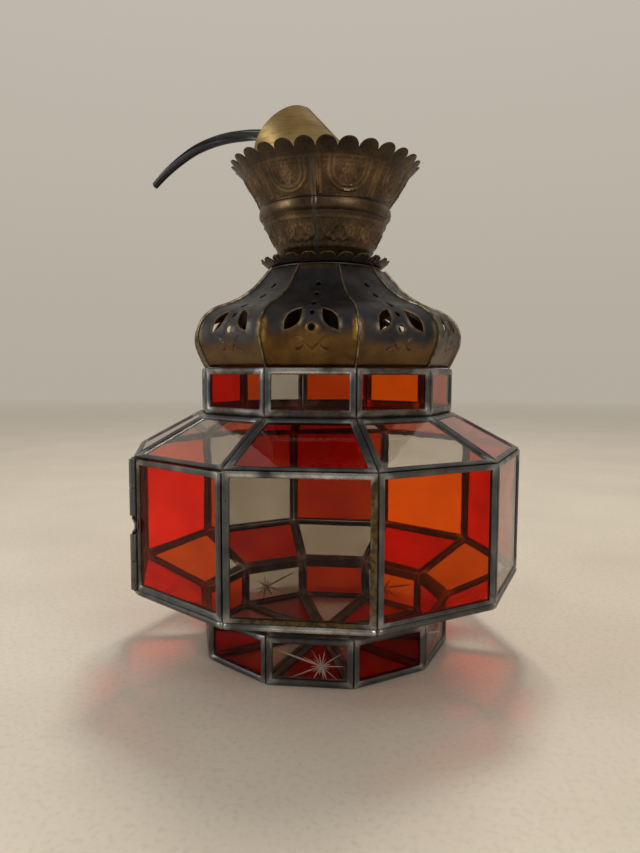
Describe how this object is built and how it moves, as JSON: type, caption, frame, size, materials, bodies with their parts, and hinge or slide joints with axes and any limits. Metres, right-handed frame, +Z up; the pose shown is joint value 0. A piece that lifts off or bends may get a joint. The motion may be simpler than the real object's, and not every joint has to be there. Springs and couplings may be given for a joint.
{
  "type": "hanging lantern",
  "caption": "Ten-sided hanging lantern of red and clear leaded glass, with a pierced brass dome, a scalloped embossed crown, a hinged glass door and a stub of flex.",
  "frame": {"origin": "centre of the underside of the base", "axes": "+Z up along the lantern's axis, -Y out of the front pane; the door is the pane to the left of the front one"},
  "size_m": [0.3009, 0.2854, 0.4084],
  "materials": {
    "lead_came": "dark grey patina with bright solder at the joints, satin",
    "red_glass": "smooth transparent red glass",
    "clear_glass": "smooth clear glass",
    "dome_brass": "dark blue-black patina fading to bronze, with thin bright seams",
    "crown_brass": "embossed brass with a brown patina and copper highlights",
    "cup_brass": "brushed, matt gold",
    "contact_brass": "bright",
    "steel": "zinc plated",
    "black_plastic": "matt black",
    "porcelain": "glazed",
    "flex_sheath": "smooth black twin sheath"
  },
  "bodies": {
    "body": {"base_cames": "lead_came", "base_glass": "red_glass", "lower_tier_cames": "lead_came", "lower_tier_glass": "red_glass", "lower_slope_cames": "lead_came", "lower_slope_pane_0": "red_glass", "lower_slope_pane_1": "clear_glass", "lower_slope_pane_2": "red_glass", "lower_slope_pane_3": "clear_glass", "lower_slope_pane_4": "red_glass", "lower_slope_pane_5": "clear_glass", "lower_slope_pane_6": "red_glass", "lower_slope_pane_7": "clear_glass", "lower_slope_pane_8": "red_glass", "lower_slope_pane_9": "clear_glass", "main_tier_cames": "lead_came", "main_pane_0": "clear_glass", "main_pane_1": "red_glass", "main_pane_2": "clear_glass", "main_pane_3": "red_glass", "main_pane_4": "clear_glass", "main_pane_5": "red_glass", "main_pane_6": "clear_glass", "main_pane_7": "red_glass", "main_pane_8": "clear_glass", "upper_slope_cames": "lead_came", "upper_slope_pane_0": "red_glass", "upper_slope_pane_1": "clear_glass", "upper_slope_pane_2": "red_glass", "upper_slope_pane_3": "clear_glass", "upper_slope_pane_4": "red_glass", "upper_slope_pane_5": "clear_glass", "upper_slope_pane_6": "red_glass", "upper_slope_pane_7": "clear_glass", "upper_slope_pane_8": "red_glass", "upper_slope_pane_9": "clear_glass", "upper_tier_cames": "lead_came", "upper_tier_glass": "red_glass", "hinge_knuckle_top": "lead_came", "hinge_knuckle_bottom": "lead_came", "dome": "dome_brass", "neck_plate": "dome_brass", "ruffle_collar": "dome_brass", "crown": "crown_brass", "threaded_tube": "steel", "neck_nut": "steel", "cord_grip": "black_plastic", "lampholder_cap": "black_plastic", "lampholder_shell": "black_plastic", "lampholder_insulator": "porcelain", "lamp_screw_shell": "contact_brass", "centre_contact": "contact_brass", "ceiling_cup": "cup_brass", "cup_bushing": "black_plastic", "flex": "flex_sheath"},
    "door": {"door_frame": "lead_came", "door_pane": "red_glass", "door_knuckle_upper": "lead_came", "door_knuckle_lower": "lead_came", "hinge_pin": "steel"}
  },
  "joints": [
    {"name": "door_hinge", "type": "hinge", "parent": "body", "child": "door", "pos_m": [-0.12135, -0.08817, 0.106], "axis": [0, 0, -1], "range_deg": [0, 160]}
  ]
}
